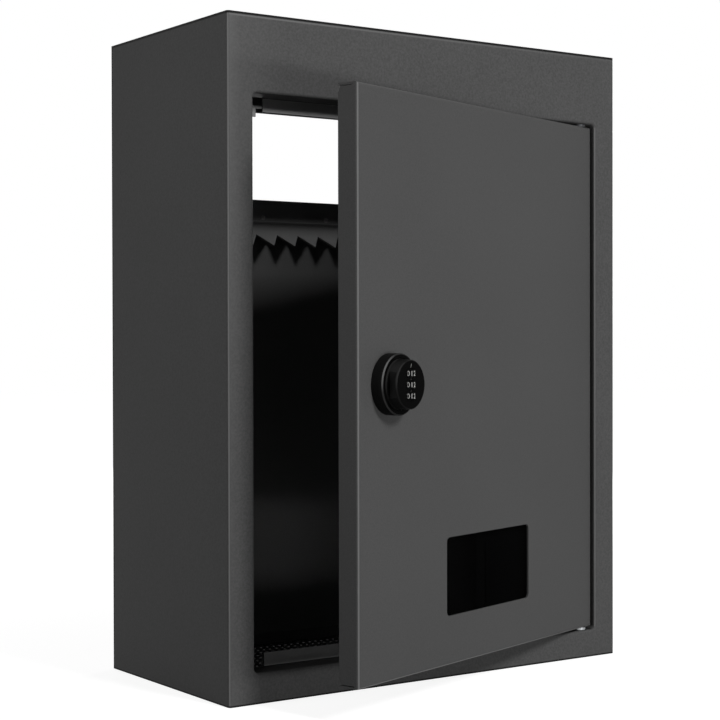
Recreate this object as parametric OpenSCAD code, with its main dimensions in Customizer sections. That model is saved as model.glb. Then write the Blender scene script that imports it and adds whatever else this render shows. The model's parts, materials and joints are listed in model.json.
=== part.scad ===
// Drop box: a folded sheet-steel case with a chute slot in its back, a serrated baffle under the slot
// that stops reaching or fishing, and a hinged front door with a window and a three-dial cam lock.
// Millimetres. The origin is the middle of the base, +X is right, +Y is the back and +Z is up.
// The door is modelled closed and then turned on its hinge to its rest angle.

/* [Case] */
// Width of the case
case_w = 310; // [306:1:330]
// Depth of the case, front to back
case_d = 152; // [148:1:180]
// Height of the case
case_h = 414; // [408:1:440]
// Thickness of the sheet steel
sheet_t = 1.2; // [1:0.1:1.4]
// Outside radius of every fold
bend_r = 2; // [1.8:0.1:2.4]
// Width of the welding flanges on the top, bottom and back panels
weld_flange = 12; // [8:1:15]
// Thickness of the mat on the floor of the case
mat_t = 3.8; // [2:0.2:6]

/* [Front opening] */
// Width of the front opening
opening_w = 274; // [260:1:276]
// Height of the front opening
opening_h = 348; // [330:1:352]
// Height of the opening's lower edge above the base
opening_z = 18.5; // [18:0.5:22]
// Radius of the opening's corners
opening_corner_r = 3; // [2:0.5:5]
// Distance from the front face back to the stop lips
rim_depth = 16.5; // [16:0.5:17]
// Width of the top and bottom stop lips
stop_lip = 8.5; // [6:0.5:10]
// Width of the stop lip that the cam latches behind
latch_lip = 8.5; // [8:0.5:12]
// Width of the ear at the top of that lip, from the edge of the opening
ear_w = 10.7; // [9:0.1:12]
// Reach of the ear's tongue towards the top stop lip
ear_reach = 15; // [13:0.1:15.5]
// Gap left at the free-edge end of each stop lip
lip_relief = 16.4; // [14:0.2:20]
// Distance from the hinge-side edge of the opening to the near end of the stop lips
lip_hinge_end = 27; // [24:1:40]

/* [Chute slot and wall bolts] */
// Width of the slot in the back panel
slot_w = 254; // [200:1:260]
// Height of the slot
slot_h = 61; // [40:1:64]
// Height of the slot's lower edge above the base
slot_z = 317; // [314:1:320]
// Radius of the slot's corners
slot_corner_r = 3; // [2:0.5:6]
// Distance between the wall bolt holes, side to side
wall_bolt_x = 230; // [200:5:260]
// Distance between the wall bolt holes, up and down
wall_bolt_z = 190; // [150:5:200]
// Height of the lower wall bolt holes above the base
wall_bolt_low = 60; // [50:5:80]
// Diameter of the wall bolt holes
wall_bolt_d = 8; // [6:0.5:10]

/* [Serrated baffle] */
// Number of teeth
teeth = 16; // [10:1:16]
// Distance from one tooth tip to the next
tooth_pitch = 17; // [14:0.5:17]
// Length of a tooth from root to tip
tooth_len = 12.7; // [8:0.1:16]
// Length of plain blade between the fold and the tooth roots
blade_len = 13.6; // [10:0.1:20]
// Slope of the blade from the vertical, in degrees
blade_tilt = 50.7; // [40:0.1:60]
// Height of the flange that is welded to the back panel
baffle_flange = 15.6; // [12:0.1:20]

/* [Door] */
// Gap between the door and the opening
door_gap = 2; // [1.8:0.1:2.4]
// Depth of the door's folded edges
door_depth = 14; // [12:0.5:14]
// Angle at which the door stands open at rest
door_rest = 18.75; // [0:0.25:90]
// Distance of the hinge axis from the door's edge
hinge_inset = 8; // [8:0.5:9]
// Distance of the hinge axis behind the front face
hinge_behind = 5; // [5:0.5:6]
// Diameter of the hinge pins
pin_d = 5; // [4:0.1:5]

/* [Window] */
// Width of the window
window_w = 96; // [60:1:120]
// Height of the window
window_h = 48; // [30:1:60]
// Distance from the door's hinge edge to the window
window_from_hinge = 84; // [60:1:100]
// Height of the window's lower edge above the base
window_z = 50.5; // [45:0.5:80]
// Radius of the window's corners
window_corner_r = 3; // [1:0.5:6]
// Thickness of the window pane
pane_t = 2.5; // [2:0.5:4]

/* [Lock] */
// Distance of the lock's axis from the door's free edge
lock_from_edge = 30; // [29:0.5:31]
// Height of the lock's axis above the base
lock_z = 193; // [150:1:240]
// Diameter of the housing's ring
ring_d = 36; // [35:0.5:40]
// Height of the ring above the door
ring_h = 8.1; // [7.5:0.1:9]
// Diameter of the barrel that passes through the door
barrel_d = 19; // [18:0.5:20]
// Diameter of the knob inside the ring
knob_d = 30; // [29:0.5:30]
// Diameter of the knob at its face
face_d = 28.6; // [27.5:0.1:29]
// Height of the knob's face above the door
knob_out = 15.4; // [15:0.1:17]
// Diameter of the dial wheels
dial_d = 6.8; // [6.4:0.1:7]
// Height of a dial wheel along its axle
dial_h = 4.2; // [3.8:0.1:4.2]
// Distance from one dial wheel to the next
dial_pitch = 6.5; // [6.5:0.1:7]
// Distance that the dial wheels stand out of the knob's face
dial_out = 2.15; // [1.8:0.05:2.2]
// Length of the cam from the lock's axis to its tip
cam_len = 30; // [28:0.5:31]

/* [Hidden] */
$fn = 48;
eps = 1;                                    // how far a cut runs past the face it starts from
running_gap = 0.05;                         // radial clearance of a pin or shaft in its hole
loose_gap = 0.35;                           // clearance between parts that move past each other

front_y = -case_d / 2;
back_y = case_d / 2;
inner_r = bend_r - sheet_t;                 // inside radius of a fold
inner_w = case_w - 2 * sheet_t;
inner_d = case_d - 2 * sheet_t;

opening_mid_z = opening_z + opening_h / 2;
rim_flat = rim_depth - inner_r;             // where the rim's straight wall ends and a lip's fold begins

baffle_w = teeth * tooth_pitch;
baffle_y = back_y - 2 * sheet_t;            // front face of the baffle's flange
baffle_fold_z = slot_z - baffle_flange;

door_w = opening_w - 2 * door_gap;
door_h = opening_h - 2 * door_gap;
hinge_x = door_w / 2 - hinge_inset;
hinge_y = front_y + hinge_behind;
door_top_z = opening_mid_z + door_h / 2;
rim_top_z = opening_z + opening_h;          // underside of the rim's top wall
pin_head_d = 7.2;
pin_head_t = 1.5;
clip_t = 0.7;
clip_z = rim_top_z + sheet_t + inner_r + 0.2; // above the inside curve of the rim's fold
clip_d = 7;
pin_end_z = clip_z + clip_t + 1;
hinge_washer_d = 9;
slit_h = 0.6;                               // open seam between neighbouring door edges

window_x = door_w / 2 - window_from_hinge - window_w / 2;
window_mid_z = window_z + window_h / 2;
gasket_t = 0.8;
gasket_w = 8;                               // how far gasket and pane reach past the cut-out

lock_x = -door_w / 2 + lock_from_edge;
barrel_end = -rim_depth;                    // the barrel stops level with the front of the stop lips
barrel_flat = 0.85 * barrel_d;              // distance across the two flats on the barrel
ring_floor = 2;
spindle_d = 10;
spindle_front = 6;
spindle_square = 7;
cam_t = 2;
cam_w = 14;
cam_front = -(rim_depth + sheet_t + 0.5);   // the cam passes behind the stop lip
cam_back = cam_front - cam_t;
screw_d = 5;
screw_end = cam_back + 9;
lock_washer_t = 1;
lock_nut_t = 4;
lock_nut_af = 24;
faceplate_t = 0.6;
faceplate_d = face_d - 2.2;
axle_d = 1.2;
axle_len = 3 * dial_pitch + 2.5;
dial_axis = knob_out + dial_out - dial_d / 2;
dial_room_d = dial_d + 2 * loose_gap;
dial_room_h = dial_h + 2 * loose_gap;
detent_d = 1.4;
detent_back = spindle_front + 0.8;
detent_z = dial_axis - dial_room_d / 2 - detent_d / 2 - 0.05;
grip_flat = 12.4;                           // distance of the finger flats from the lock's axis
grip_low = ring_h + 1.1;
grip_high = knob_out - 1.2;

case_grey = "#4b4c4e";
door_grey = "#4d4e50";
dark_grey = "#3b3c3e";
mat_black = "#1c1c1d";
lock_black = "#161617";
dial_black = "#202021";
pane_black = "#0b0b0c";
zinc = "#b9bcc0";

// ---- Places ----

// Front face of the case: x right, y up, z out of the face.
module on_front(x, z) {
    translate([x, front_y, z]) rotate([90, 0, 0]) children();
}

// Turns what is modelled on the closed door to the door's rest angle.
module on_door() {
    translate([hinge_x, hinge_y, 0]) rotate(door_rest) translate([-hinge_x, -hinge_y, 0]) children();
}

// The lock's axis on the door: x right, y up, z out of the door.
module on_lock() {
    on_door() on_front(lock_x, lock_z) children();
}

// The hinge axis.
module on_hinge() {
    translate([hinge_x, hinge_y, 0]) children();
}

// Mirrors an upper hinge part to the lower hinge.
module at_lower_hinge() {
    translate([0, 0, 2 * opening_mid_z]) mirror([0, 0, 1]) children();
}

// ---- Shapes ----

// Extrudes a section along X: the section's x is Y and its y is Z.
module along_x(length) {
    rotate([90, 0, 90]) linear_extrude(length, center = true) children();
}

module rounded_rect(w, h, r) {
    square([w, h - 2 * r], center = true);
    square([w - 2 * r, h], center = true);
    for (sx = [-1, 1], sy = [-1, 1])
        translate([sx * (w / 2 - r), sy * (h / 2 - r)]) circle(r = r);
}

// Rectangle that starts at y = 0 and is rounded at its two front corners.
module front_rounded(w, d, r) {
    translate([-w / 2, r]) square([w, d - r]);
    translate([-w / 2 + r, 0]) square([w - 2 * r, d]);
    for (s = [-1, 1]) translate([s * (w / 2 - r), r]) circle(r = r);
}

// Block whose four front edges are rounded, starting at y = 0 and centred on the other axes.
module pan_block(w, h, d, r) {
    intersection() {
        linear_extrude(h, center = true) front_rounded(w, d, r);
        along_x(w) mirror([1, -1]) front_rounded(h, d, r);
    }
}

// Quarter ring between a fold's two radii, in the quadrant that the signs give.
module fold_section(sx, sy) {
    intersection() {
        difference() {
            circle(r = bend_r);
            circle(r = inner_r);
        }
        translate([sx < 0 ? -bend_r : 0, sy < 0 ? -bend_r : 0]) square(bend_r);
    }
}

// Sweeps a section round a rounded rectangle. The section's x points out of the rectangle and its
// y along z.
module sweep_round_rect(w, h, r) {
    for (i = [0 : 3]) {
        reach = (i % 2 == 0 ? w : h) / 2;
        across = (i % 2 == 0 ? h : w) / 2;
        rotate(90 * i) {
            translate([reach, 0, 0])
                rotate([90, 0, 0]) linear_extrude(2 * (across - r), center = true) children();
            translate([reach - r, across - r, 0])
                rotate_extrude(angle = 90) translate([r, 0]) children();
        }
    }
}

// Flat panel with welding flanges on its four edges and a notch at each corner, plate at z = 0.
module flanged_panel(w, d) {
    notch = 4;
    difference() {
        translate([-w / 2, -d / 2, 0]) cube([w, d, weld_flange]);
        translate([-w / 2 + sheet_t, -d / 2 + sheet_t, sheet_t])
            cube([w - 2 * sheet_t, d - 2 * sheet_t, weld_flange]);
        for (sx = [-1, 1], sy = [-1, 1])
            translate([sx * w / 2, sy * d / 2, sheet_t + weld_flange / 2])
                cube([2 * notch, 2 * notch, weld_flange], center = true);
    }
}

// ---- Case ----

// Section of the rim: the fold at the front and the wall that runs back from it.
module rim_section() {
    translate([bend_r, -bend_r]) fold_section(-1, 1);
    translate([0, -rim_flat]) square([sheet_t, rim_flat - bend_r]);
}

// Section of a stop lip: a fold at the back of the rim and a strip that turns into the opening.
module lip_section(width) {
    translate([-inner_r, -rim_flat]) fold_section(1, -1);
    translate([-width, -rim_flat - bend_r]) square([width - inner_r, sheet_t]);
}

// Stop lip on one side of the opening. Side 0 is the right one, and the angle runs anticlockwise.
module lip(side, reach, width, from, to) {
    rotate(side) translate([reach, (from + to) / 2, 0])
        rotate([90, 0, 0]) linear_extrude(to - from, center = true) lip_section(width);
}

// Ear at the top of the latching stop lip, drawn from the lip's top end, with a narrow tongue.
module latch_ear() {
    foot = 2.4;
    tongue_h = 1.8;
    top = 4.5;
    linear_extrude(sheet_t) polygon([
        [bend_r, -foot], [ear_w, -foot], [ear_w, top - tongue_h], [ear_reach, top - tongue_h],
        [ear_reach, top], [2 * bend_r, top], [bend_r, top - bend_r]
    ]);
}

module front_shell() {
    latch_half = opening_h / 2 - latch_lip - 1;
    lip_free = opening_w / 2 - lip_relief;
    lip_hinge = opening_w / 2 - lip_hinge_end;
    color(case_grey) difference() {
        union() {
            difference() {
                translate([0, front_y, 0]) linear_extrude(case_h) difference() {
                    front_rounded(case_w, case_d, bend_r);
                    translate([0, sheet_t]) front_rounded(inner_w, case_d, inner_r);
                }
                on_front(0, opening_mid_z) translate([0, 0, -sheet_t - eps])
                    linear_extrude(sheet_t + 2 * eps)
                        rounded_rect(opening_w + 2 * bend_r, opening_h + 2 * bend_r,
                                     opening_corner_r + bend_r);
            }
            on_front(0, opening_mid_z) {
                translate([-opening_w / 2, latch_half, -rim_depth]) latch_ear();
                sweep_round_rect(opening_w, opening_h, opening_corner_r) rim_section();
                lip(90, opening_h / 2, stop_lip, -lip_hinge, lip_free);
                lip(270, opening_h / 2, stop_lip, -lip_free, lip_hinge);
                lip(180, opening_w / 2, latch_lip, -latch_half, latch_half);
            }
        }
        // Holes for the hinge pins in the rim's top and bottom walls.
        on_hinge() {
            for (z = [opening_z - sheet_t / 2, rim_top_z + sheet_t / 2])
                translate([0, 0, z])
                    cylinder(d = pin_d + 2 * running_gap, h = sheet_t + 2, center = true);
        }
    }
}

module top_panel() {
    color(case_grey) translate([0, 0, case_h]) mirror([0, 0, 1]) flanged_panel(inner_w, inner_d);
}

module bottom_panel() {
    color(case_grey) flanged_panel(inner_w, inner_d);
}

module back_panel() {
    flange_end = weld_flange + 2;
    color(dark_grey) difference() {
        union() {
            translate([-inner_w / 2, back_y - sheet_t, 0]) cube([inner_w, sheet_t, case_h]);
            for (s = [-1, 1])
                translate([s * (inner_w - sheet_t) / 2, back_y - weld_flange / 2, case_h / 2])
                    cube([sheet_t, weld_flange, case_h - 2 * flange_end], center = true);
        }
        translate([0, back_y + eps, slot_z + slot_h / 2]) rotate([90, 0, 0])
            linear_extrude(sheet_t + 2 * eps) rounded_rect(slot_w, slot_h, slot_corner_r);
        for (sx = [-1, 1], z = [wall_bolt_low, wall_bolt_low + wall_bolt_z])
            translate([sx * wall_bolt_x / 2, back_y + eps, z]) rotate([90, 0, 0])
                cylinder(d = wall_bolt_d, h = sheet_t + 2 * eps);
    }
}

// Section of the baffle about the centre of its fold: flange, fold and a blade longer than the teeth.
module baffle_section() {
    reach = blade_len + tooth_len + 1;
    translate([inner_r, 0]) square([sheet_t, baffle_flange]);
    intersection() {
        fold_section(1, -1);
        polygon([[0, 0], [2 * bend_r, 0],
                 [2 * bend_r * cos(blade_tilt), -2 * bend_r * sin(blade_tilt)]]);
    }
    rotate(-blade_tilt) translate([inner_r, -reach]) square([sheet_t, reach]);
}

// Everything below the row of pointed teeth, in the plane of the blade.
module below_teeth() {
    low = -blade_len - tooth_len - 5;
    edge = (baffle_w + tooth_pitch) / 2;
    polygon(concat(
        [[-edge, low]],
        [for (i = [0 : teeth], tip = [0, 1]) if (i < teeth || tip == 0)
            [(i + tip / 2) * tooth_pitch - baffle_w / 2, -blade_len - tip * tooth_len]],
        [[edge, low]]
    ));
}

module serrated_baffle() {
    color(dark_grey) translate([0, baffle_y - inner_r, baffle_fold_z]) difference() {
        along_x(baffle_w) baffle_section();
        rotate([-blade_tilt, 0, 0]) translate([0, bend_r + eps, 0])
            rotate([90, 0, 0]) linear_extrude(sheet_t + 2 * eps) below_teeth();
    }
}

module floor_mat() {
    edge = sheet_t + 1.5;
    color(mat_black) translate([0, 0, sheet_t]) linear_extrude(mat_t)
        rounded_rect(inner_w - 2 * edge, inner_d - 2 * edge, 5);
}

// ---- Door ----

// Section of the lock's barrel and of its hole in the door: a circle with two flats.
module barrel_section(gap) {
    intersection() {
        circle(d = barrel_d + 2 * gap);
        square([barrel_flat + 2 * gap, 2 * barrel_d], center = true);
    }
}

module door_panel() {
    chamfer_y = 2;
    chamfer_z = 3.5;
    color(door_grey) on_door() difference() {
        translate([0, front_y, opening_mid_z]) difference() {
            pan_block(door_w, door_h, door_depth, bend_r);
            translate([0, sheet_t, 0])
                pan_block(door_w - 2 * sheet_t, door_h - 2 * sheet_t, door_depth, inner_r);
            for (side = [-1, 1], end = [0, 1]) mirror([0, 0, end]) {
                // Open seam beside the top and bottom edges.
                translate([side * door_w / 2, bend_r + 1.5, door_h / 2 - sheet_t - slit_h])
                    translate([-sheet_t, 0, 0]) cube([2 * sheet_t, door_depth, slit_h]);
                // Cropped back corner of the side edge.
                translate([side * (door_w - sheet_t) / 2, 0, door_h / 2 - sheet_t - slit_h])
                    along_x(2 * sheet_t) polygon([
                        [door_depth - chamfer_y, 0.1], [door_depth + eps, 0.1],
                        [door_depth + eps, -chamfer_z], [door_depth, -chamfer_z]
                    ]);
            }
        }
        on_front(window_x, window_mid_z) translate([0, 0, -sheet_t - eps])
            linear_extrude(sheet_t + 2 * eps) rounded_rect(window_w, window_h, window_corner_r);
        on_front(lock_x, lock_z) translate([0, 0, -sheet_t - eps])
            linear_extrude(sheet_t + 2 * eps) barrel_section(running_gap);
        on_hinge() {
            for (z = [2 * opening_mid_z - door_top_z + sheet_t / 2, door_top_z - sheet_t / 2])
                translate([0, 0, z])
                    cylinder(d = pin_d + 2 * running_gap, h = sheet_t + 1, center = true);
        }
    }
}

// Headed pin that stands up through the door's top edge and the rim.
module hinge_pin() {
    seat_z = door_top_z - sheet_t;
    chamfer = 0.6;
    on_hinge() rotate_extrude() polygon([
        [0, seat_z - pin_head_t], [pin_head_d / 2, seat_z - pin_head_t],
        [pin_head_d / 2, seat_z - chamfer], [pin_head_d / 2 - chamfer, seat_z], [pin_d / 2, seat_z],
        [pin_d / 2, clip_z], [pin_d / 2 - 0.5, clip_z],
        [pin_d / 2 - 0.5, clip_z + clip_t], [pin_d / 2, clip_z + clip_t],
        [pin_d / 2, pin_end_z - 0.5], [pin_d / 2 - 0.5, pin_end_z], [0, pin_end_z]
    ]);
}

module hinge_washer() {
    on_hinge() translate([0, 0, door_top_z]) linear_extrude(door_gap - loose_gap) difference() {
        circle(d = hinge_washer_d);
        circle(d = pin_d + 2 * running_gap);
    }
}

// Retaining clip with an open side, seated in the pin's groove.
module hinge_clip() {
    on_hinge() translate([0, 0, clip_z]) linear_extrude(clip_t) difference() {
        circle(d = clip_d);
        circle(d = pin_d - 1);
        translate([0, -clip_d / 2]) square([pin_d - 1.4, clip_d], center = true);
    }
}

module upper_hinge_pin() { color(zinc) on_door() hinge_pin(); }
module lower_hinge_pin() { color(zinc) on_door() at_lower_hinge() hinge_pin(); }
module upper_hinge_washer() { color(zinc) on_door() hinge_washer(); }
module lower_hinge_washer() { color(zinc) on_door() at_lower_hinge() hinge_washer(); }
module upper_hinge_clip() { color(zinc) on_door() hinge_clip(); }
module lower_hinge_clip() { color(zinc) on_door() at_lower_hinge() hinge_clip(); }

module window_gasket() {
    color(mat_black) on_door() on_front(window_x, window_mid_z)
        translate([0, 0, -sheet_t - gasket_t]) linear_extrude(gasket_t) difference() {
            rounded_rect(window_w + 2 * gasket_w, window_h + 2 * gasket_w, window_corner_r);
            rounded_rect(window_w + 1, window_h + 1, window_corner_r + 0.5);
        }
}

module window_pane() {
    color(pane_black) on_door() on_front(window_x, window_mid_z)
        translate([0, 0, -sheet_t - gasket_t - pane_t]) linear_extrude(pane_t)
            rounded_rect(window_w + 2 * gasket_w, window_h + 2 * gasket_w, window_corner_r);
}

// ---- Lock ----

module lock_housing() {
    bore_r = spindle_d / 2 + running_gap;
    socket_r = knob_d / 2 + loose_gap;
    rim = 0.7;
    color(lock_black) on_lock() {
        rotate_extrude() polygon([
            [bore_r, 0], [ring_d / 2, 0], [ring_d / 2, ring_h - rim], [ring_d / 2 - rim, ring_h],
            [socket_r, ring_h], [socket_r, ring_floor], [bore_r, ring_floor]
        ]);
        translate([0, 0, barrel_end]) linear_extrude(-barrel_end) difference() {
            barrel_section(0);
            circle(r = bore_r);
        }
    }
}

// Toothed washer under the lock's nut.
module lock_washer() {
    tooth_count = 16;
    color(zinc) on_lock() translate([0, 0, -sheet_t - lock_washer_t]) linear_extrude(lock_washer_t)
        difference() {
            circle(d = barrel_d + 7);
            circle(d = barrel_d + 2 * running_gap);
            for (i = [0 : tooth_count - 1])
                rotate(i * 360 / tooth_count) translate([barrel_d / 2 + 3.8, 0]) circle(r = 1.2, $fn = 16);
        }
}

module lock_nut() {
    corner_r = lock_nut_af / 2 / cos(30);
    color(zinc) on_lock() translate([0, 0, -sheet_t - lock_washer_t - lock_nut_t]) difference() {
        intersection() {
            cylinder(r = corner_r, h = lock_nut_t, $fn = 6);
            rotate_extrude() polygon([
                [0, 0], [corner_r - 1.2, 0], [corner_r, 0.7], [corner_r, lock_nut_t], [0, lock_nut_t]
            ]);
        }
        translate([0, 0, -eps]) cylinder(d = barrel_d + 2 * running_gap, h = lock_nut_t + 2 * eps);
    }
}

// Room for one dial wheel, open at the knob's face.
module dial_room() {
    rotate([90, 0, 0]) cylinder(d = dial_room_d, h = dial_room_h, center = true);
    translate([0, 0, dial_d / 4]) cube([dial_room_d, dial_room_h, dial_d / 2], center = true);
}

module lock_knob() {
    base = ring_floor + loose_gap;
    press_r = spindle_d / 2 + running_gap;
    seat_r = faceplate_d / 2 + running_gap;
    seat = knob_out - faceplate_t;
    detent_r = detent_d / 2 + 0.1;
    color(lock_black) on_lock() difference() {
        rotate_extrude() polygon([
            [0, spindle_front], [press_r, spindle_front], [press_r, base], [knob_d / 2, base],
            [knob_d / 2, ring_h], [knob_d / 2 - 0.3, ring_h + 0.5], [face_d / 2, knob_out - 0.6],
            [face_d / 2 - 0.6, knob_out], [seat_r, knob_out], [seat_r, seat], [0, seat]
        ]);
        // Finger flats on both sides, below the lip of the face.
        for (s = [-1, 1])
            translate([s * (grip_flat + knob_d / 4), 0, (grip_low + grip_high) / 2])
                cube([knob_d / 2, knob_d, grip_high - grip_low], center = true);
        for (i = [-1 : 1]) translate([0, i * dial_pitch, dial_axis]) {
            dial_room();
            translate([0, 0, detent_back - dial_axis]) cylinder(r = detent_r, h = dial_room_d / 2);
        }
        // Groove that the dials' axle lies in, closed by the face plate.
        translate([0, 0, dial_axis]) {
            rotate([90, 0, 0])
                cylinder(d = axle_d + 2 * running_gap, h = axle_len + 0.2, center = true);
            translate([0, 0, axle_d])
                cube([axle_d + 2 * running_gap, axle_len + 0.2, 2 * axle_d], center = true);
        }
    }
}

module lock_faceplate() {
    color(lock_black) on_lock() translate([0, 0, knob_out - faceplate_t]) linear_extrude(faceplate_t)
        difference() {
            circle(d = faceplate_d);
            for (i = [-1 : 1]) translate([0, i * dial_pitch])
                rounded_rect(dial_room_d, dial_room_h, 0.5);
        }
}

module lock_spindle() {
    color(zinc) on_lock() difference() {
        union() {
            translate([0, 0, cam_front]) cylinder(d = spindle_d, h = spindle_front - cam_front);
            translate([-spindle_square / 2, -spindle_square / 2, cam_back + 0.2])
                cube([spindle_square, spindle_square, cam_t]);
        }
        translate([0, 0, cam_back]) cylinder(d = screw_d + 2 * running_gap, h = screw_end - cam_back + 1);
    }
}

// Dial wheel with ten finger notches. Row 1 is the top wheel and row -1 the bottom one.
module dial(row) {
    notches = 10;
    color(dial_black) on_lock() translate([0, row * dial_pitch, dial_axis]) rotate([90, 0, 0])
        linear_extrude(dial_h, center = true) difference() {
            circle(d = dial_d);
            circle(d = axle_d + 2 * running_gap, $fn = 24);
            for (i = [0 : notches - 1])
                rotate(i * 360 / notches) translate([dial_d / 2 + 0.05, 0]) circle(r = 0.3, $fn = 16);
        }
}

module dial_top() { dial(1); }
module dial_middle() { dial(0); }
module dial_bottom() { dial(-1); }

module dial_axle() {
    color(zinc) on_lock() translate([0, 0, dial_axis]) rotate([90, 0, 0])
        cylinder(d = axle_d, h = axle_len, center = true, $fn = 24);
}

module detent_balls() {
    color(zinc) on_lock() for (i = [-1 : 1])
        translate([0, i * dial_pitch, detent_z]) sphere(d = detent_d, $fn = 24);
}

module detent_springs() {
    spring_h = detent_z - detent_d / 2 - detent_back - 0.02;
    color(zinc) on_lock() for (i = [-1 : 1])
        translate([0, i * dial_pitch, detent_back]) linear_extrude(spring_h) difference() {
            circle(d = detent_d - 0.2, $fn = 24);
            circle(d = detent_d - 0.7, $fn = 24);
        }
}

module cam_washer() {
    color(zinc) on_lock() translate([0, 0, cam_front])
        linear_extrude(barrel_end - loose_gap - cam_front) difference() {
            circle(d = barrel_d - 3);
            circle(d = spindle_d + 2 * running_gap);
        }
}

// Flat cam. It points up when the knob is at rest and swings to the free edge to latch.
module cam_plate() {
    tip_r = 3;
    color(zinc) on_lock() translate([0, 0, cam_back]) linear_extrude(cam_t) difference() {
        union() {
            circle(d = cam_w + 2);
            translate([0, cam_len / 2]) rounded_rect(cam_w, cam_len, tip_r);
        }
        square(spindle_square + 2 * running_gap, center = true);
    }
}

module cam_screw() {
    head_af = 10;
    head_t = 4;
    flange_t = 1.2;
    color(zinc) on_lock() {
        translate([0, 0, cam_back - flange_t]) cylinder(d = cam_w, h = flange_t);
        translate([0, 0, cam_back - flange_t - head_t])
            cylinder(d = head_af / cos(30), h = head_t, $fn = 6);
        translate([0, 0, cam_back]) cylinder(d = screw_d, h = screw_end - cam_back);
    }
}

front_shell();
top_panel();
bottom_panel();
back_panel();
serrated_baffle();
floor_mat();
door_panel();
upper_hinge_pin();
lower_hinge_pin();
upper_hinge_washer();
lower_hinge_washer();
upper_hinge_clip();
lower_hinge_clip();
window_gasket();
window_pane();
lock_housing();
lock_washer();
lock_nut();
lock_knob();
lock_faceplate();
lock_spindle();
dial_top();
dial_middle();
dial_bottom();
dial_axle();
detent_balls();
detent_springs();
cam_washer();
cam_plate();
cam_screw();
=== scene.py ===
import json
import math
import bpy
import bmesh
from mathutils import Matrix, Vector


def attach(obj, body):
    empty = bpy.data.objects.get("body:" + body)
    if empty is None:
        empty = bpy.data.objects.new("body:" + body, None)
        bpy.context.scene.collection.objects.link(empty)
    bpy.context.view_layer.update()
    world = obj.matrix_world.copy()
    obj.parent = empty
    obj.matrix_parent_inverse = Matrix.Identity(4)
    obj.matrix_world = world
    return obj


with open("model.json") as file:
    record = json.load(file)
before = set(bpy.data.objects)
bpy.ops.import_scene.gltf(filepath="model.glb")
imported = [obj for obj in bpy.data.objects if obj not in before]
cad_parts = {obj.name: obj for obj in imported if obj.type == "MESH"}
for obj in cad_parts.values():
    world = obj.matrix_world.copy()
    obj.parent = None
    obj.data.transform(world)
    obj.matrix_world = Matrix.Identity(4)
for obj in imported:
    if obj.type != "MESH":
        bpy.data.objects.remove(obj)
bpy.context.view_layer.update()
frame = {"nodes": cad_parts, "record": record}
nodes = frame["nodes"]
scene = bpy.context.scene

MM = 0.001

# ---- Places, as in the part's source ----

# The case's faces, in mm.
LEFT, RIGHT, FRONT, BACK, TOP = -155, 155, -76, 76, 414

# The stop lips' front, the floor of the opening's rim, the mat's top, and the baffle's crease and
# its flange's front, in mm.
LIP_Y, RIM_Z, MAT_Z, CREASE_Z, FLANGE_Y = -59.5, 18.5, 5.0, 302.2, 73.6

# The hinge and the lock's mounting face, in metres, and how far the door stands open at rest.
HINGE = Vector((127 * MM, -71 * MM, 0))
DOOR_REST = math.radians(18.75)
LOCK = Vector((-105 * MM, FRONT * MM, 193 * MM))

# The frame of the lock, which points out of the open door along its own Z.
on_lock = (Matrix.Translation(HINGE) @ Matrix.Rotation(DOOR_REST, 4, "Z")
           @ Matrix.Translation(LOCK - HINGE) @ Matrix.Rotation(math.radians(90), 4, "X"))


# ---- Nodes ----

def hex_color(code):
    """sRGB hex colour as linear RGBA."""
    parts = [int(code[i:i + 2], 16) / 255 for i in (1, 3, 5)]
    linear = [c / 12.92 if c <= 0.04045 else ((c + 0.055) / 1.055) ** 2.4 for c in parts]
    return (*linear, 1.0)


def add_node(tree, kind, settings=(), links=()):
    """Adds a node, sets its properties or socket values by name, and links its sockets to others or
    to the first output of other nodes."""
    node = tree.nodes.new(kind)
    for name, value in dict(settings).items():
        if isinstance(name, str) and hasattr(node, name):
            setattr(node, name, value)
        else:
            node.inputs[name].default_value = value
    for name, source in dict(links).items():
        if isinstance(source, bpy.types.Node):
            source = source.outputs[0]
        tree.links.new(source, node.inputs[name])
    return node


def new_finish(name):
    """An empty material, its tree and its Object coordinates."""
    material = bpy.data.materials.new(name)
    material.use_nodes = True
    tree = material.node_tree
    tree.nodes.clear()
    coords = add_node(tree, "ShaderNodeTexCoord").outputs["Object"]
    return material, tree, coords


def area_share(tree, sources, areas):
    """Share of a surface that lies in some areas. A source is a socket, the unit of the ramps along
    it and how they run. An area is the operation that joins it to those before it, and ramps that
    are multiplied: a source's name, where the ramp starts and ends, and its values there."""
    total = None
    for operation, *ramps in areas:
        share = None
        for name, start, end, low, high in ramps:
            source, unit, run = sources[name]
            ramp = add_node(tree, "ShaderNodeMapRange",
                            {"interpolation_type": run, "From Min": start * unit,
                             "From Max": end * unit, "To Min": low, "To Max": high},
                            {"Value": source})
            share = ramp if share is None else add_node(
                tree, "ShaderNodeMath", {"operation": "MULTIPLY"}, {0: share, 1: ramp})
        total = share if total is None else add_node(
            tree, "ShaderNodeMath", {"operation": operation}, {0: total, 1: share})
    return total


# ---- Powder coat ----

NOISE_LOW, NOISE_HIGH = 0.3, 0.7  # noise mostly keeps between these values
FLAT, FOLDED = 0.91, 0.78         # a normal's largest part, on nearly flat sheet and within a fold
PEEL, CLOUD = 3.5 * MM, 90 * MM   # sizes of the coat's orange peel and of its uneven tone
ROUGH_SPREAD = 0.06               # how far the coat's roughness strays from its mean

# Painted light and shade on the front shell: areas as area_share takes them, with places in mm.
FACES_FRONT = ("normal y", -0.8, -0.95, 0.0, 1.0)
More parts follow.
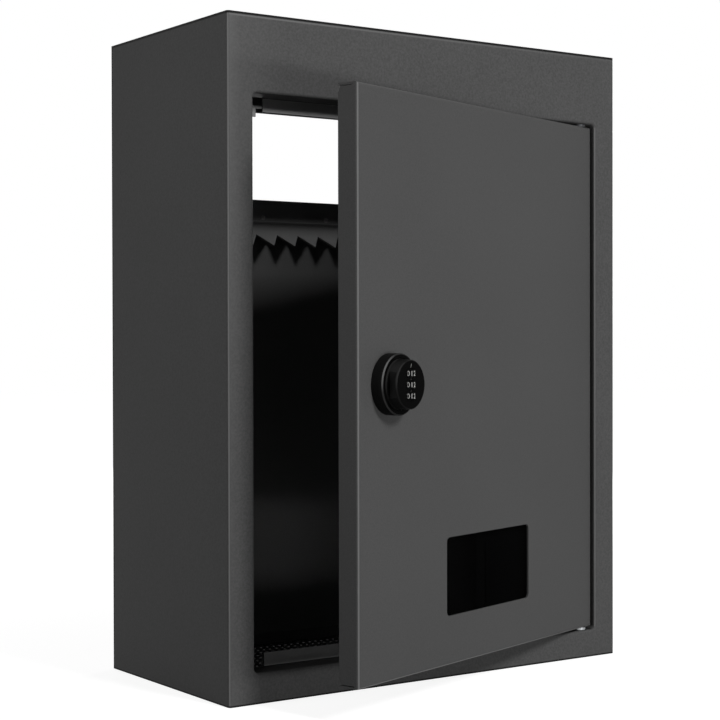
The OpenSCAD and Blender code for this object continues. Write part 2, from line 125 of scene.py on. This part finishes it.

# Painted light beside the left fold and in the upper left corner, and a painted highlight in a line
# under the top edge.
SHELL_PAINTED_LIGHT = [
    ("ADD", ("x", LEFT + 9, LEFT + 1, 0.0, 0.2), ("z", 0, 250, 0.5, 1.0), FACES_FRONT),
    ("ADD", ("x", LEFT + 43, LEFT + 5, 0.0, 0.16), ("z", 200, 400, 0.0, 1.0), FACES_FRONT),
    ("MAXIMUM", ("z", TOP - 2.9, TOP - 2.3, 0.0, 1.0), ("x", LEFT, RIGHT, 0.8, 0.15), FACES_FRONT),
]

# Painted shade in thin lines along the top, bottom and back edges and on the right fold, and a
# painted shadow of the door on the rim's floor.
SHELL_PAINTED_SHADE = [
    ("MAXIMUM", ("z", TOP - 1.8, TOP - 1.2, 0.0, 1.0)),
    ("MAXIMUM", ("z", 1.3, 0.8, 0.0, 1.0)),
    ("MAXIMUM", ("y", BACK - 1.8, BACK - 1.0, 0.0, 1.0)),
    ("MAXIMUM", ("x", RIGHT - 1.8, RIGHT - 1.3, 0.0, 1.0), ("normal y", -0.3, -0.5, 0.0, 1.0)),
    ("MAXIMUM", ("z", RIM_Z - 0.9, RIM_Z - 0.3, 0.0, 0.75),
     ("z", RIM_Z + 0.7, RIM_Z + 0.3, 0.0, 1.0), ("y", FRONT + 1, FRONT + 2.5, 0.0, 1.0),
     ("x", LEFT + 9, LEFT + 13, 0.0, 1.0), ("x", RIGHT - 9, RIGHT - 13, 0.0, 1.0)),
]

# Painted light on the stop lips, less of it towards the hinge.
SHELL_PAINTED_LIP_LIGHT = [
    ("MAXIMUM", ("y", LIP_Y - 2, LIP_Y - 1, 0.0, 1.0), ("y", LIP_Y + 1.5, LIP_Y + 0.5, 0.0, 1.0),
     ("x", LEFT + 25, LEFT + 65, 0.9, 0.6), FACES_FRONT),
]

# Painted light over the baffle's flange, and a painted highlight along its crease.
BAFFLE_PAINTED_LIGHT = [
    ("MAXIMUM", ("z", CREASE_Z - 0.5, CREASE_Z - 0.2, 0.0, 1.0),
     ("z", CREASE_Z + 0.5, CREASE_Z + 0.2, 0.3, 0.45)),
]


def powder_coat(name, low, high, gloss, turn=0.0, fold_highlight="#707070", low_fold_highlight=0.0, painted_light=(), dark=(),
                pale=(), grain=0.9 * MM, depth=0.05 * MM, roughness=0.5):
    """Polyester powder coat, sprayed and baked: fine grit and orange peel break up reflections.
    A paler colour along the folds is a painted highlight: full on the folds that turn left, as the
    low fold setting says on those that turn down, and none on those that turn up or right. Other
    areas take painted light, painted shade or paler painted light. The turn is the angle at which
    the piece stands about Z. Real grit is some 0.3 mm across, and the grain is coarser, so that it
    shows."""
    material, tree, coords = new_finish(name)
    normal = add_node(tree, "ShaderNodeTexCoord").outputs["Normal"]
    place = add_node(tree, "ShaderNodeSeparateXYZ", (), {0: coords})
    facing = add_node(tree, "ShaderNodeSeparateXYZ", (), {0: normal})
    square = add_node(tree, "ShaderNodeVectorRotate", {"rotation_type": "Z_AXIS", "Angle": -turn},
                      {"Vector": normal})
    way = add_node(tree, "ShaderNodeSeparateXYZ", (), {0: square})
    size = add_node(tree, "ShaderNodeVectorMath", {"operation": "ABSOLUTE"}, {0: square})
    parts = add_node(tree, "ShaderNodeSeparateXYZ", (), {0: size})
    level = add_node(tree, "ShaderNodeMath", {"operation": "MAXIMUM"},
                     {0: parts.outputs["X"], 1: parts.outputs["Y"]})
    flatness = add_node(tree, "ShaderNodeMath", {"operation": "MAXIMUM"},
                        {0: level, 1: parts.outputs["Z"]})
    sources = {
        "x": (place.outputs["X"], MM, "LINEAR"),
        "y": (place.outputs["Y"], MM, "LINEAR"),
        "z": (place.outputs["Z"], MM, "LINEAR"),
        "normal y": (facing.outputs["Y"], 1.0, "LINEAR"),
        "turn x": (way.outputs["X"], 1.0, "LINEAR"),
        "turn z": (way.outputs["Z"], 1.0, "LINEAR"),
        "flatness": (flatness, 1.0, "SMOOTHSTEP"),
    }
    # Painted highlight in the fold colour along the folds that turn left, and as the low fold
    # setting says along those that turn down.
    fold_highlights = ("MAXIMUM", ("flatness", FLAT, FOLDED, 0.0, 1.0), ("turn z", 0.1, 0.4, 1.0, 0.0),
             ("turn z", -0.1, -0.4, 1.0, low_fold_highlight), ("turn x", 0.1, 0.4, 1.0, 0.0))

    grit = add_node(tree, "ShaderNodeTexNoise",
                    {"Scale": 1 / grain, "Detail": 2.0, "Roughness": 0.6}, {"Vector": coords})
    peel = add_node(tree, "ShaderNodeTexNoise",
                    {"Scale": 1 / PEEL, "Detail": 1.0, "Roughness": 0.5}, {"Vector": coords})
    cloud = add_node(tree, "ShaderNodeTexNoise",
                     {"Scale": 1 / CLOUD, "Detail": 1.0, "Roughness": 0.5}, {"Vector": coords})
    speck = add_node(tree, "ShaderNodeMapRange", {"From Min": NOISE_LOW, "From Max": NOISE_HIGH,
                                                  "To Min": 0.25, "To Max": 0.75}, {"Value": grit})
    share = add_node(tree, "ShaderNodeMath", {"operation": "MULTIPLY_ADD", 1: 0.3},
                     {0: cloud, 2: speck})
    tone = add_node(tree, "ShaderNodeMath", {"operation": "SUBTRACT", 1: 0.15}, {0: share})
    color = add_node(tree, "ShaderNodeMix",
                     {"data_type": "RGBA", 6: hex_color(low), 7: hex_color(high)}, {0: tone})
    # Over the coat's own tone: painted light and highlights in the fold colour, painted shade in
    # near black, and paler painted light in light grey.
    for areas, shade in (([*painted_light, fold_highlights], fold_highlight), (dark, "#1c1c1c"), (pale, "#989898")):
        if areas:
            color = add_node(tree, "ShaderNodeMix", {"data_type": "RGBA", 7: hex_color(shade)},
                             {0: area_share(tree, sources, areas), 6: color.outputs[2]})

    rough = add_node(tree, "ShaderNodeMapRange",
                     {"From Min": NOISE_LOW, "From Max": NOISE_HIGH,
                      "To Min": roughness - ROUGH_SPREAD, "To Max": roughness + ROUGH_SPREAD},
                     {"Value": grit})
    height = add_node(tree, "ShaderNodeMath", {"operation": "MULTIPLY_ADD", 1: 0.6},
                      {0: peel, 2: grit})
    bump = add_node(tree, "ShaderNodeBump", {"Strength": 0.5, "Distance": depth},
                    {"Height": height})
    shader = add_node(tree, "ShaderNodeBsdfPrincipled", {"Specular IOR Level": gloss},
                      {"Base Color": color.outputs[2], "Roughness": rough, "Normal": bump})
    add_node(tree, "ShaderNodeOutputMaterial", (), {"Surface": shader})
    return material


# ---- Other finishes ----

def lock_enamel(name, edge, bright, sheen_color):
    """Black stoved enamel on a zinc die casting: semi-gloss, with a faint orange peel and greyer
    round the sides.
    A painted highlight in grey runs along the turned edges, brightest on the upper left, and a
    painted sheen lies on the upper left of the sides."""
    material, tree, coords = new_finish(name)
    normal = add_node(tree, "ShaderNodeTexCoord").outputs["Normal"]
    out_of_door = on_lock.to_3x3() @ Vector((0, 0, 1))
    up_left = on_lock.to_3x3() @ Vector((-0.87, 0.5, 0))
    outward = add_node(tree, "ShaderNodeVectorMath", {"operation": "DOT_PRODUCT", 1: out_of_door},
                       {0: normal}).outputs["Value"]
    upper_left = add_node(tree, "ShaderNodeVectorMath", {"operation": "DOT_PRODUCT", 1: up_left},
                          {0: normal}).outputs["Value"]
    sources = {"outward": (outward, 1.0, "SMOOTHSTEP"), "upper left": (upper_left, 1.0, "LINEAR")}
    # Painted highlight along the turned edges and on their upper left, and painted sheen on the
    # upper left of the sides.
    painted_highlight_edge = area_share(tree, sources, [("MAXIMUM", ("outward", 0.96, 0.8, 0.0, 1.0),
                                              ("outward", 0.3, 0.6, 0.0, 1.0))])
    painted_highlight_side = area_share(tree, sources, [("MAXIMUM", ("upper left", 0.52, 0.7, 0.0, 1.0))])
    painted_sheen_side = area_share(tree, sources, [("MAXIMUM", ("upper left", 0.75, 0.98, 0.0, 1.0))])

    peel = add_node(tree, "ShaderNodeTexNoise",
                    {"Scale": 1 / (0.7 * MM), "Detail": 2.0, "Roughness": 0.5}, {"Vector": coords})
    film = add_node(tree, "ShaderNodeMix",
                    {"data_type": "RGBA", 6: hex_color("#050505"), 7: hex_color("#0a0a0a")},
                    {0: peel})
    side_grey = add_node(tree, "ShaderNodeMix",
                       {"data_type": "RGBA", 6: hex_color("#161616"), 7: hex_color("#222222")},
                       {0: peel})
    sides_and_face = add_node(tree, "ShaderNodeMix", {"data_type": "RGBA"},
                    {0: outward, 6: side_grey.outputs[2], 7: film.outputs[2]})
    with_painted_sheen = add_node(tree, "ShaderNodeMix", {"data_type": "RGBA", 7: hex_color(sheen_color)},
                       {0: painted_sheen_side, 6: sides_and_face.outputs[2]})
    highlight_color = add_node(tree, "ShaderNodeMix",
                    {"data_type": "RGBA", 6: hex_color(edge), 7: hex_color(bright)},
                    {0: painted_highlight_side})
    color = add_node(tree, "ShaderNodeMix", {"data_type": "RGBA"},
                     {0: painted_highlight_edge, 6: with_painted_sheen.outputs[2], 7: highlight_color.outputs[2]})
    rough = add_node(tree, "ShaderNodeMapRange", {"To Min": 0.14, "To Max": 0.24}, {"Value": peel})
    bump = add_node(tree, "ShaderNodeBump", {"Strength": 0.25, "Distance": 0.03 * MM},
                    {"Height": peel})
    shader = add_node(tree, "ShaderNodeBsdfPrincipled", {"Specular IOR Level": 0.005},
                      {"Base Color": color.outputs[2], "Roughness": rough, "Normal": bump})
    add_node(tree, "ShaderNodeOutputMaterial", (), {"Surface": shader})
    return material


def moulded_rubber():
    """Black rubber sheet with a moulded grid of small dimples, matt and slightly chalky."""
    material, tree, coords = new_finish("moulded_rubber_mat")
    grid = add_node(tree, "ShaderNodeTexVoronoi",
                    {"voronoi_dimensions": "2D", "Scale": 1 / (4 * MM), "Randomness": 0.0},
                    {"Vector": coords})
    dimple = add_node(tree, "ShaderNodeMapRange",
                      {"interpolation_type": "SMOOTHSTEP", "From Min": 0.2, "From Max": 0.36,
                       "To Min": 1.0, "To Max": 0.0}, {"Value": grid.outputs["Distance"]})
    chalk = add_node(tree, "ShaderNodeTexNoise",
                     {"Scale": 1 / (1.2 * MM), "Detail": 3.0, "Roughness": 0.6}, {"Vector": coords})
    color = add_node(tree, "ShaderNodeMix",
                     {"data_type": "RGBA", 6: hex_color("#151515"), 7: hex_color("#232323")},
                     {0: chalk})
    height = add_node(tree, "ShaderNodeMath", {"operation": "MULTIPLY_ADD", 1: 0.1},
                      {0: chalk, 2: dimple})
    bump = add_node(tree, "ShaderNodeBump", {"Strength": 0.9, "Distance": 0.6 * MM},
                    {"Height": height})
    shader = add_node(tree, "ShaderNodeBsdfPrincipled",
                      {"Roughness": 0.4, "Specular IOR Level": 0.5},
                      {"Base Color": color.outputs[2], "Normal": bump})
    add_node(tree, "ShaderNodeOutputMaterial", (), {"Surface": shader})
    return material


def cell_foam():
    """Die-cut closed-cell foam: dead black, with open cells along the cut edge."""
    material, tree, coords = new_finish("closed_cell_foam")
    cells = add_node(tree, "ShaderNodeTexVoronoi", {"Scale": 1 / (0.5 * MM)}, {"Vector": coords})
    color = add_node(tree, "ShaderNodeMix",
                     {"data_type": "RGBA", 6: hex_color("#1a1a1a"), 7: hex_color("#0c0c0c")},
                     {0: cells.outputs["Distance"]})
    bump = add_node(tree, "ShaderNodeBump",
                    {"Strength": 0.6, "Distance": 0.15 * MM, "invert": True},
                    {"Height": cells.outputs["Distance"]})
    shader = add_node(tree, "ShaderNodeBsdfPrincipled",
                      {"Roughness": 0.9, "Specular IOR Level": 0.05},
                      {"Base Color": color.outputs[2], "Normal": bump})
    add_node(tree, "ShaderNodeOutputMaterial", (), {"Surface": shader})
    return material


def grained(name, grain, colors, settings, rough=None, relief=None):
    """Finish that one noise runs through. Grain is the noise's size in mm, detail and roughness,
    rough the shader's least and most roughness, and relief the bump's strength and depth in mm."""
    material, tree, coords = new_finish(name)
    size, detail, noise_roughness = grain
    noise = add_node(tree, "ShaderNodeTexNoise",
                     {"Scale": 1 / (size * MM), "Detail": detail, "Roughness": noise_roughness},
                     {"Vector": coords})
    color = add_node(tree, "ShaderNodeMix",
                     {"data_type": "RGBA", 6: hex_color(colors[0]), 7: hex_color(colors[1])},
                     {0: noise})
    links = {"Base Color": color.outputs[2]}
    if rough:
        links["Roughness"] = add_node(tree, "ShaderNodeMapRange",
                                      {"To Min": rough[0], "To Max": rough[1]}, {"Value": noise})
    if relief:
        links["Normal"] = add_node(tree, "ShaderNodeBump",
                                   {"Strength": relief[0], "Distance": relief[1] * MM},
                                   {"Height": noise})
    shader = add_node(tree, "ShaderNodeBsdfPrincipled", settings, links)
    add_node(tree, "ShaderNodeOutputMaterial", (), {"Surface": shader})
    return material


# Bright zinc plate on pressed steel: a cold grey metal with a faint cloudy bloom.
zinc_plate = grained("bright_zinc_plate", (2.5, 3.0, 0.6), ("#7f8183", "#9a9c9e"),
                     {"Metallic": 1.0}, rough=(0.22, 0.42), relief=(0.2, 0.02))

# The mat's moulded studs, rubbed smooth: black rubber with a wax-like shine.
shiny_rubber = grained("moulded_rubber_pads", (4, 2.0, 0.5), ("#1c1c1c", "#303030"),
                       {"Roughness": 0.35, "Specular IOR Level": 0.6})

# Cast acrylic sheet, smoked dark: black against the unlit inside, grey with light behind it.
smoked_acrylic = grained("smoked_cast_acrylic", (25, 2.0, 0.5), ("#888888", "#949494"),
                         {"IOR": 1.02, "Transmission Weight": 1.0}, rough=(0.02, 0.06))

# Black ABS dial wheels, moulded against a finely sparked tool: even and slightly soft.
moulded_abs = grained("moulded_black_abs", (0.15, 2.0, 0.6), ("#060606", "#0b0b0b"),
                      {"Roughness": 0.4, "Specular IOR Level": 0.01}, relief=(0.3, 0.01))

# Ground silver-steel pin left in oil: a dark, close-grained metal.
oiled_steel = grained("oiled_silver_steel", (0.2, 2.0, 0.6), ("#141415", "#26272a"),
                      {"Metallic": 1.0}, rough=(0.35, 0.5))

# Zinc-plated steel like the lower hinge's, painted nearly black for the shade the upper hinge sits
# in: painted shade, with a soft metal sheen in places.
upper_hinge_painted_shade = grained("painted_shade_hinge_steel", (1.5, 3.0, 0.6), ("#202021", "#4a4b4d"),
                          {"Metallic": 1.0, "Roughness": 0.45})

# White pad-printed ink on the dials and the knob's face: flat, thin and a little uneven.
white_ink = grained("white_pad_ink", (0.3, 2.0, 0.5), ("#8e8e8c", "#c4c4c2"),
                    {"Roughness": 0.55, "Specular IOR Level": 0.3})

# Powder coat over the spot welds, shinier, with pale specks in its grain: painted glints.
weld_coat_painted_glints = powder_coat("painted_glints_weld_coat", "#3c3c3c", "#b0b0b0", 0.5,
                        grain=0.7 * MM, depth=0.3 * MM, roughness=0.4)

FINISHES = {
    "powder_coated_steel": powder_coat("textured_powder_coat", "#434343", "#515151", 0.04),
    "rubber_mat": moulded_rubber(),
    "zinc_plated_steel": zinc_plate,
    "gasket_foam": cell_foam(),
    "tinted_acrylic": smoked_acrylic,
    "black_lock_enamel": lock_enamel("black_stoved_enamel", "#1a1a1a", "#2c2c2c", "#282828"),
    "dial_plastic": moulded_abs,
}

# The baffle and the back panel are coated before they are welded in, and come out glossier.
NODE_FINISHES = {
    "front_shell": powder_coat("textured_powder_coat_shell", "#414141", "#585858", 0.04,
                               grain=1.4 * MM, depth=0.07 * MM,
                               painted_light=SHELL_PAINTED_LIGHT, dark=SHELL_PAINTED_SHADE, pale=SHELL_PAINTED_LIP_LIGHT),
    # The baffle's pale fold colour gives it painted light and painted highlights.
    "serrated_baffle": powder_coat("satin_powder_coat_baffle", "#383838", "#464646", 0.5,
                                   fold_highlight="#9c9c9c", roughness=0.4, painted_light=BAFFLE_PAINTED_LIGHT),
    "back_panel": powder_coat("satin_powder_coat", "#434343", "#515151", 0.4, roughness=0.45),
    "door_panel": powder_coat("textured_powder_coat_door", "#424242", "#505050", 0.04,
                              turn=DOOR_REST, low_fold_highlight=1.0),
    # The upper hinge's pin and washer take painted shade.
    "upper_hinge_pin": upper_hinge_painted_shade,
    "upper_hinge_washer": upper_hinge_painted_shade,
    "lock_housing": lock_enamel("black_stoved_enamel_ring", "#2c2c2c", "#5e5e5e", "#1a1a1a"),
    "dial_axle": oiled_steel,
}

for part in frame["record"]["subparts"]:
    carried = nodes[part["node"]]
    carried.data.materials.clear()
    carried.data.materials.append(NODE_FINISHES.get(part["node"], FINISHES[part["material_slot"]]))


# ---- Pieces ----

def finish_piece(bm, name, material, body):
    """Turns a bmesh into a piece that rides on a body and takes a finish."""
    mesh = bpy.data.meshes.new(name)
    bm.to_mesh(mesh)
    bm.free()
    mesh.materials.append(material)
    piece = bpy.data.objects.new(name, mesh)
    scene.collection.objects.link(piece)
    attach(piece, body)


def add_copy(whole, bm):
    """Adds a copy of one bmesh to another."""
    part = bpy.data.meshes.new("part")
    bm.to_mesh(part)
    whole.from_mesh(part)
    bpy.data.meshes.remove(part)


def bisect(bm, place, direction, clear_outer=False):
    """Cuts all of a bmesh along a plane."""
    bmesh.ops.bisect_plane(bm, geom=bm.verts[:] + bm.edges[:] + bm.faces[:],
                           plane_co=place, plane_no=direction, clear_outer=clear_outer)


DIAL_R, DIAL_PITCH = 3.4 * MM, 6.5 * MM  # a dial's radius, and the height from one to the next
DIAL_AXIS = 14.15 * MM                   # the dials' axis, from the lock's mounting face
DIAL_PLACES = 10
DIAL_SLACK = 7.0                         # degrees that the dials rest past their detents
FRONT_FIGURE = 2                         # the figure that faces the front at rest
FIGURE_HEIGHT, FIGURE_HALF_WIDTH = 3.0 * MM, 0.86 * MM
FIGURE_INK = 0.03 * MM                   # thickness of the figures' printed ink
FONT_CAP = 0.73                          # height of the font's figures for a size of 1


def figure_outline(text):
    """Flat outline of a figure, centred, with its middle at the origin."""
    curve = bpy.data.curves.new("figure", "FONT")
    curve.body = text
    curve.size = FIGURE_HEIGHT / FONT_CAP
    curve.offset = 0.008 * FIGURE_HEIGHT
    curve.resolution_u = 4
    holder = bpy.data.objects.new("figure", curve)
    scene.collection.objects.link(holder)
    bpy.context.view_layer.update()
    bm = bmesh.new()
    bm.from_mesh(holder.to_mesh())
    holder.to_mesh_clear()
    bpy.data.objects.remove(holder)
    xs = [v.co.x for v in bm.verts]
    ys = [v.co.y for v in bm.verts]
    centre = Vector(((min(xs) + max(xs)) / 2, (min(ys) + max(ys)) / 2, 0))
    bmesh.ops.translate(bm, verts=bm.verts, vec=-centre)
    return bm


def dial_figures(name, body, row):
    """Ten figures round a dial wheel, each wrapped on the wheel's rim between two notches."""
    whole = bmesh.new()
    raised = DIAL_R + FIGURE_INK
    for figure in range(DIAL_PLACES):
        bm = figure_outline(str(figure))
        half_width = max(v.co.x for v in bm.verts)
        narrow = 0.9 if figure == 1 else FIGURE_HALF_WIDTH / half_width
        bmesh.ops.scale(bm, verts=bm.verts, vec=(narrow, 1, 1))
        for cut in range(-3, 4):  # so that the figure bends round the rim
            bisect(bm, (cut * 0.25 * MM, 0, 0), (1, 0, 0))
        turn = math.radians(360 / DIAL_PLACES * (figure - FRONT_FIGURE) + DIAL_SLACK)
        for v in bm.verts:
            angle = v.co.x / DIAL_R + turn
            v.co = on_lock @ Vector((raised * math.sin(angle), v.co.y + row * DIAL_PITCH,
                                     DIAL_AXIS + raised * math.cos(angle)))
        add_copy(whole, bm)
        bm.free()
    finish_piece(whole, name, white_ink, body)


def index_marks():
    """Printed index on the knob's face: a stroke over the dials and fine lines between them."""
    face_z, ink = 15.4 * MM, 0.02 * MM
    # Height over the middle dial, the mark's width and height in mm, and its tilt in degrees.
    marks = [(10.9, 0.22, 2.3, -14), (3.25, 0.12, 1.3, 0), (-3.25, 0.12, 1.3, 0)]
    bm = bmesh.new()
    for y, width, height, tilt in marks:
        place = (on_lock @ Matrix.Translation((0, y * MM, face_z + ink))
                 @ Matrix.Rotation(math.radians(tilt), 4, "Z"))
        mark = bmesh.ops.create_grid(bm, x_segments=1, y_segments=3, size=0.5)["verts"]
        bmesh.ops.scale(bm, verts=mark, vec=(width * MM, height * MM, 1))
        bmesh.ops.transform(bm, verts=mark, matrix=place)
    finish_piece(bm, "knob_index_marks", white_ink, "lock_core")


def mat_studs():
    """Moulded studs in staggered rows over the mat: low six-sided pads with bevelled rims."""
    columns, pitch = 58, 5.0 * MM
    rows, row_step = 17, 8.0 * MM
    left, front = -144.75 * MM, -68 * MM
    foot, head, depth = 1.8 * MM, 1.1 * MM, 0.9 * MM
    middle_z = (MAT_Z + 0.2) * MM  # the foot is sunk in the mat
    row = bmesh.new()
    for i in range(columns):
        place = Matrix.Translation((left + i * pitch, front, middle_z))
        bmesh.ops.create_cone(row, cap_ends=True, segments=6, radius1=foot, radius2=head,
                              depth=depth, matrix=place)
    whole = bmesh.new()
    for j in range(rows):
        add_copy(whole, row)
        stagger = -pitch / 2 if j % 2 else pitch / 2
        bmesh.ops.translate(row, verts=row.verts, vec=(stagger, row_step, 0))
    row.free()
    finish_piece(whole, "floor_mat_studs", shiny_rubber, "case")


def spot_welds():
    """Resistance spot welds along the baffle's flange: shallow rings round a raised middle."""
    weld_z = 304.8
    # Radius and height of the section, in mm. The rim is sunk in the flange.
    section = [(0.0, 0.25), (0.7, 0.2), (1.0, 0.05), (1.3, 0.22), (1.6, 0.26), (1.9, -0.1)]
    bm = bmesh.new()
    for x in (-92, -39, 14, 67, 120):
        centre = Vector((x, FLANGE_Y, weld_z)) * MM
        verts = [bm.verts.new(centre + Vector((r, -h, 0)) * MM) for r, h in section]
        edges = [bm.edges.new(pair) for pair in zip(verts, verts[1:])]
        bmesh.ops.spin(bm, geom=verts + edges, cent=centre, axis=(0, 1, 0), angle=math.tau,
                       steps=20, use_merge=True, use_duplicate=False)
    bmesh.ops.remove_doubles(bm, verts=bm.verts, dist=0.001 * MM)
    bmesh.ops.recalc_face_normals(bm, faces=bm.faces)
    # The rings are open behind, so recalculated faces may point into the flange.
    if sum(face.normal.y * face.calc_area() for face in bm.faces) > 0:
        bmesh.ops.reverse_faces(bm, faces=bm.faces)
    finish_piece(bm, "baffle_spot_welds", weld_coat_painted_glints, "case")


def barrel_thread():
    """Fine rolled thread on the lock's barrel behind its nut, cut away over the barrel's flats."""
    radius, pitch, turns, steps = 9.5, 1.0, 9, 40
    start_z, flat_x = -6.8, 8.05
    # Radius and height of the thread's section, in mm. The root is sunk in the barrel.
    section = [(radius - 0.1, 0.4), (radius + 0.3, 0.0), (radius - 0.1, -0.4)]
    bm = bmesh.new()
    verts = [bm.verts.new(Vector((r, 0, start_z + h)) * MM) for r, h in section]
    edges = [bm.edges.new(pair) for pair in zip(verts, verts[1:] + verts[:1])]
    bmesh.ops.spin(bm, geom=verts + edges, cent=(0, 0, 0), axis=(0, 0, 1), angle=math.tau * turns,
                   dvec=(0, 0, -pitch * MM / steps), steps=steps * turns, use_duplicate=False)
    for side in (1, -1):
        bisect(bm, (side * flat_x * MM, 0, 0), (side, 0, 0), clear_outer=True)
    bmesh.ops.holes_fill(bm, edges=[e for e in bm.edges if e.is_boundary], sides=4)
    bmesh.ops.recalc_face_normals(bm, faces=bm.faces)
    bmesh.ops.transform(bm, verts=bm.verts, matrix=on_lock)
    finish_piece(bm, "lock_barrel_thread", NODE_FINISHES["lock_housing"], "door")


dial_figures("figures_top", "top_dial", 1)
dial_figures("figures_middle", "middle_dial", 0)
dial_figures("figures_bottom", "bottom_dial", -1)
index_marks()
mat_studs()
spot_welds()
barrel_thread()


# ---- Studio ----

def is_seen(tree):
    """1 for rays from the camera, a glossy surface or glass, and 0 for rays that only light."""
    path = add_node(tree, "ShaderNodeLightPath").outputs
    either = add_node(tree, "ShaderNodeMath", {"operation": "MAXIMUM"},
                      {0: path["Is Camera Ray"], 1: path["Is Glossy Ray"]})
    return add_node(tree, "ShaderNodeMath", {"operation": "MAXIMUM"},
                    {0: either, 1: path["Is Transmission Ray"]})


def white_world():
    """White where it is seen, and no light of its own on the box."""
    world = bpy.data.worlds.new("studio")
    scene.world = world
    world.use_nodes = True
    tree = world.node_tree
    tree.nodes.clear()
    sky = add_node(tree, "ShaderNodeBackground", {"Color": hex_color("#ffffff")},
                   {"Strength": is_seen(tree)})
    add_node(tree, "ShaderNodeOutputWorld", (), {"Surface": sky})


def studio_floor():
    """Pale paper floor: lit plainly, and lifted to white where it is seen, less so by the box."""
    radius, drop = 6.0, 0.2 * MM
    near, far, near_lift = 0.2, 0.9, 0.88
    material, tree, coords = new_finish("pale_floor")
    reach = add_node(tree, "ShaderNodeVectorMath", {"operation": "LENGTH"}, {0: coords})
    lift = add_node(tree, "ShaderNodeMapRange",
                    {"From Min": near, "From Max": far, "To Min": near_lift, "To Max": 1.0},
                    {"Value": reach.outputs["Value"]})
    level = add_node(tree, "ShaderNodeMath", {"operation": "MULTIPLY"}, {0: lift, 1: is_seen(tree)})
    paper = add_node(tree, "ShaderNodeBsdfDiffuse", {"Color": hex_color("#9c9c9c")})
    glow = add_node(tree, "ShaderNodeEmission", {"Color": hex_color("#ffffff")},
                    {"Strength": level})
    mixed = add_node(tree, "ShaderNodeAddShader", (), {0: paper, 1: glow})
    add_node(tree, "ShaderNodeOutputMaterial", (), {"Surface": mixed})
    bm = bmesh.new()
    bmesh.ops.create_circle(bm, cap_ends=True, segments=64, radius=radius)
    bmesh.ops.translate(bm, verts=bm.verts, vec=(0, 0, -drop))
    mesh = bpy.data.meshes.new("floor")
    bm.to_mesh(mesh)
    bm.free()
    mesh.materials.append(material)
    floor = bpy.data.objects.new("floor", mesh)
    scene.collection.objects.link(floor)


def softbox(name, place, target, width, height, power):
    """Lamp at a place, facing a target, of a size in metres and a power in watts."""
    lamp = bpy.data.lights.new(name, "AREA")
    lamp.shape = "RECTANGLE"
    lamp.size, lamp.size_y, lamp.energy = width, height, power
    holder = bpy.data.objects.new(name, lamp)
    scene.collection.objects.link(holder)
    holder.location = place
    holder.rotation_euler = (Vector(target) - Vector(place)).to_track_quat("-Z", "Y").to_euler()


white_world()
studio_floor()

# The key lights the front, low_front the foot of the box and the mat's edge, and the left lamps the
# left side and the door's free edge. The last two light the sides turned away from the camera.
BOX_MIDDLE = (0.0, 0.0, 0.2)
softbox("key", (0.21, -1.61, 1.17), BOX_MIDDLE, 0.28, 0.38, 22.0)
softbox("low_front", (0.18, -1.18, 0.07), (0.05, 0.0, 0.07), 0.8, 0.1, 4.0)
softbox("left_side", (-1.2, 0.1, 0.5), BOX_MIDDLE, 0.4, 0.4, 2.5)
softbox("left_low", (-0.5, -0.3, 0.55), (-0.1, -0.08, 0.25), 0.25, 0.25, 0.42)
softbox("right_side", (1.4, 0.8, 0.5), BOX_MIDDLE, 0.6, 0.6, 10.0)
softbox("back", (0.4, 1.7, 0.5), BOX_MIDDLE, 0.6, 0.6, 8.0)


# ---- Camera ----

def place_camera(place, yaw, pitch, roll, lens):
    """Camera at a place, turned right, up and anticlockwise by degrees, with a lens in mm."""
    yaw, pitch, roll = math.radians(yaw), math.radians(pitch), math.radians(roll)
    level = Vector((math.sin(yaw), math.cos(yaw), 0))
    right = Vector((math.cos(yaw), -math.sin(yaw), 0))
    up = -math.sin(pitch) * level + math.cos(pitch) * Vector((0, 0, 1))
    ahead = math.cos(pitch) * level + math.sin(pitch) * Vector((0, 0, 1))
    x_axis = math.cos(roll) * right + math.sin(roll) * up
    y_axis = -math.sin(roll) * right + math.cos(roll) * up
    camera = bpy.data.cameras.new("camera")
    camera.sensor_width, camera.lens = 36.0, lens
    camera.clip_start, camera.clip_end = 0.05, 50.0
    viewer = bpy.data.objects.new("camera", camera)
    scene.collection.objects.link(viewer)
    viewer.matrix_world = (Matrix.Translation(place)
                           @ Matrix((x_axis, y_axis, -ahead)).transposed().to_4x4())
    scene.camera = viewer


place_camera((-0.6672, -0.9512, 0.2186), yaw=34.75, pitch=-0.67, roll=-0.12, lens=85.333)

scene.view_settings.view_transform = "Standard"
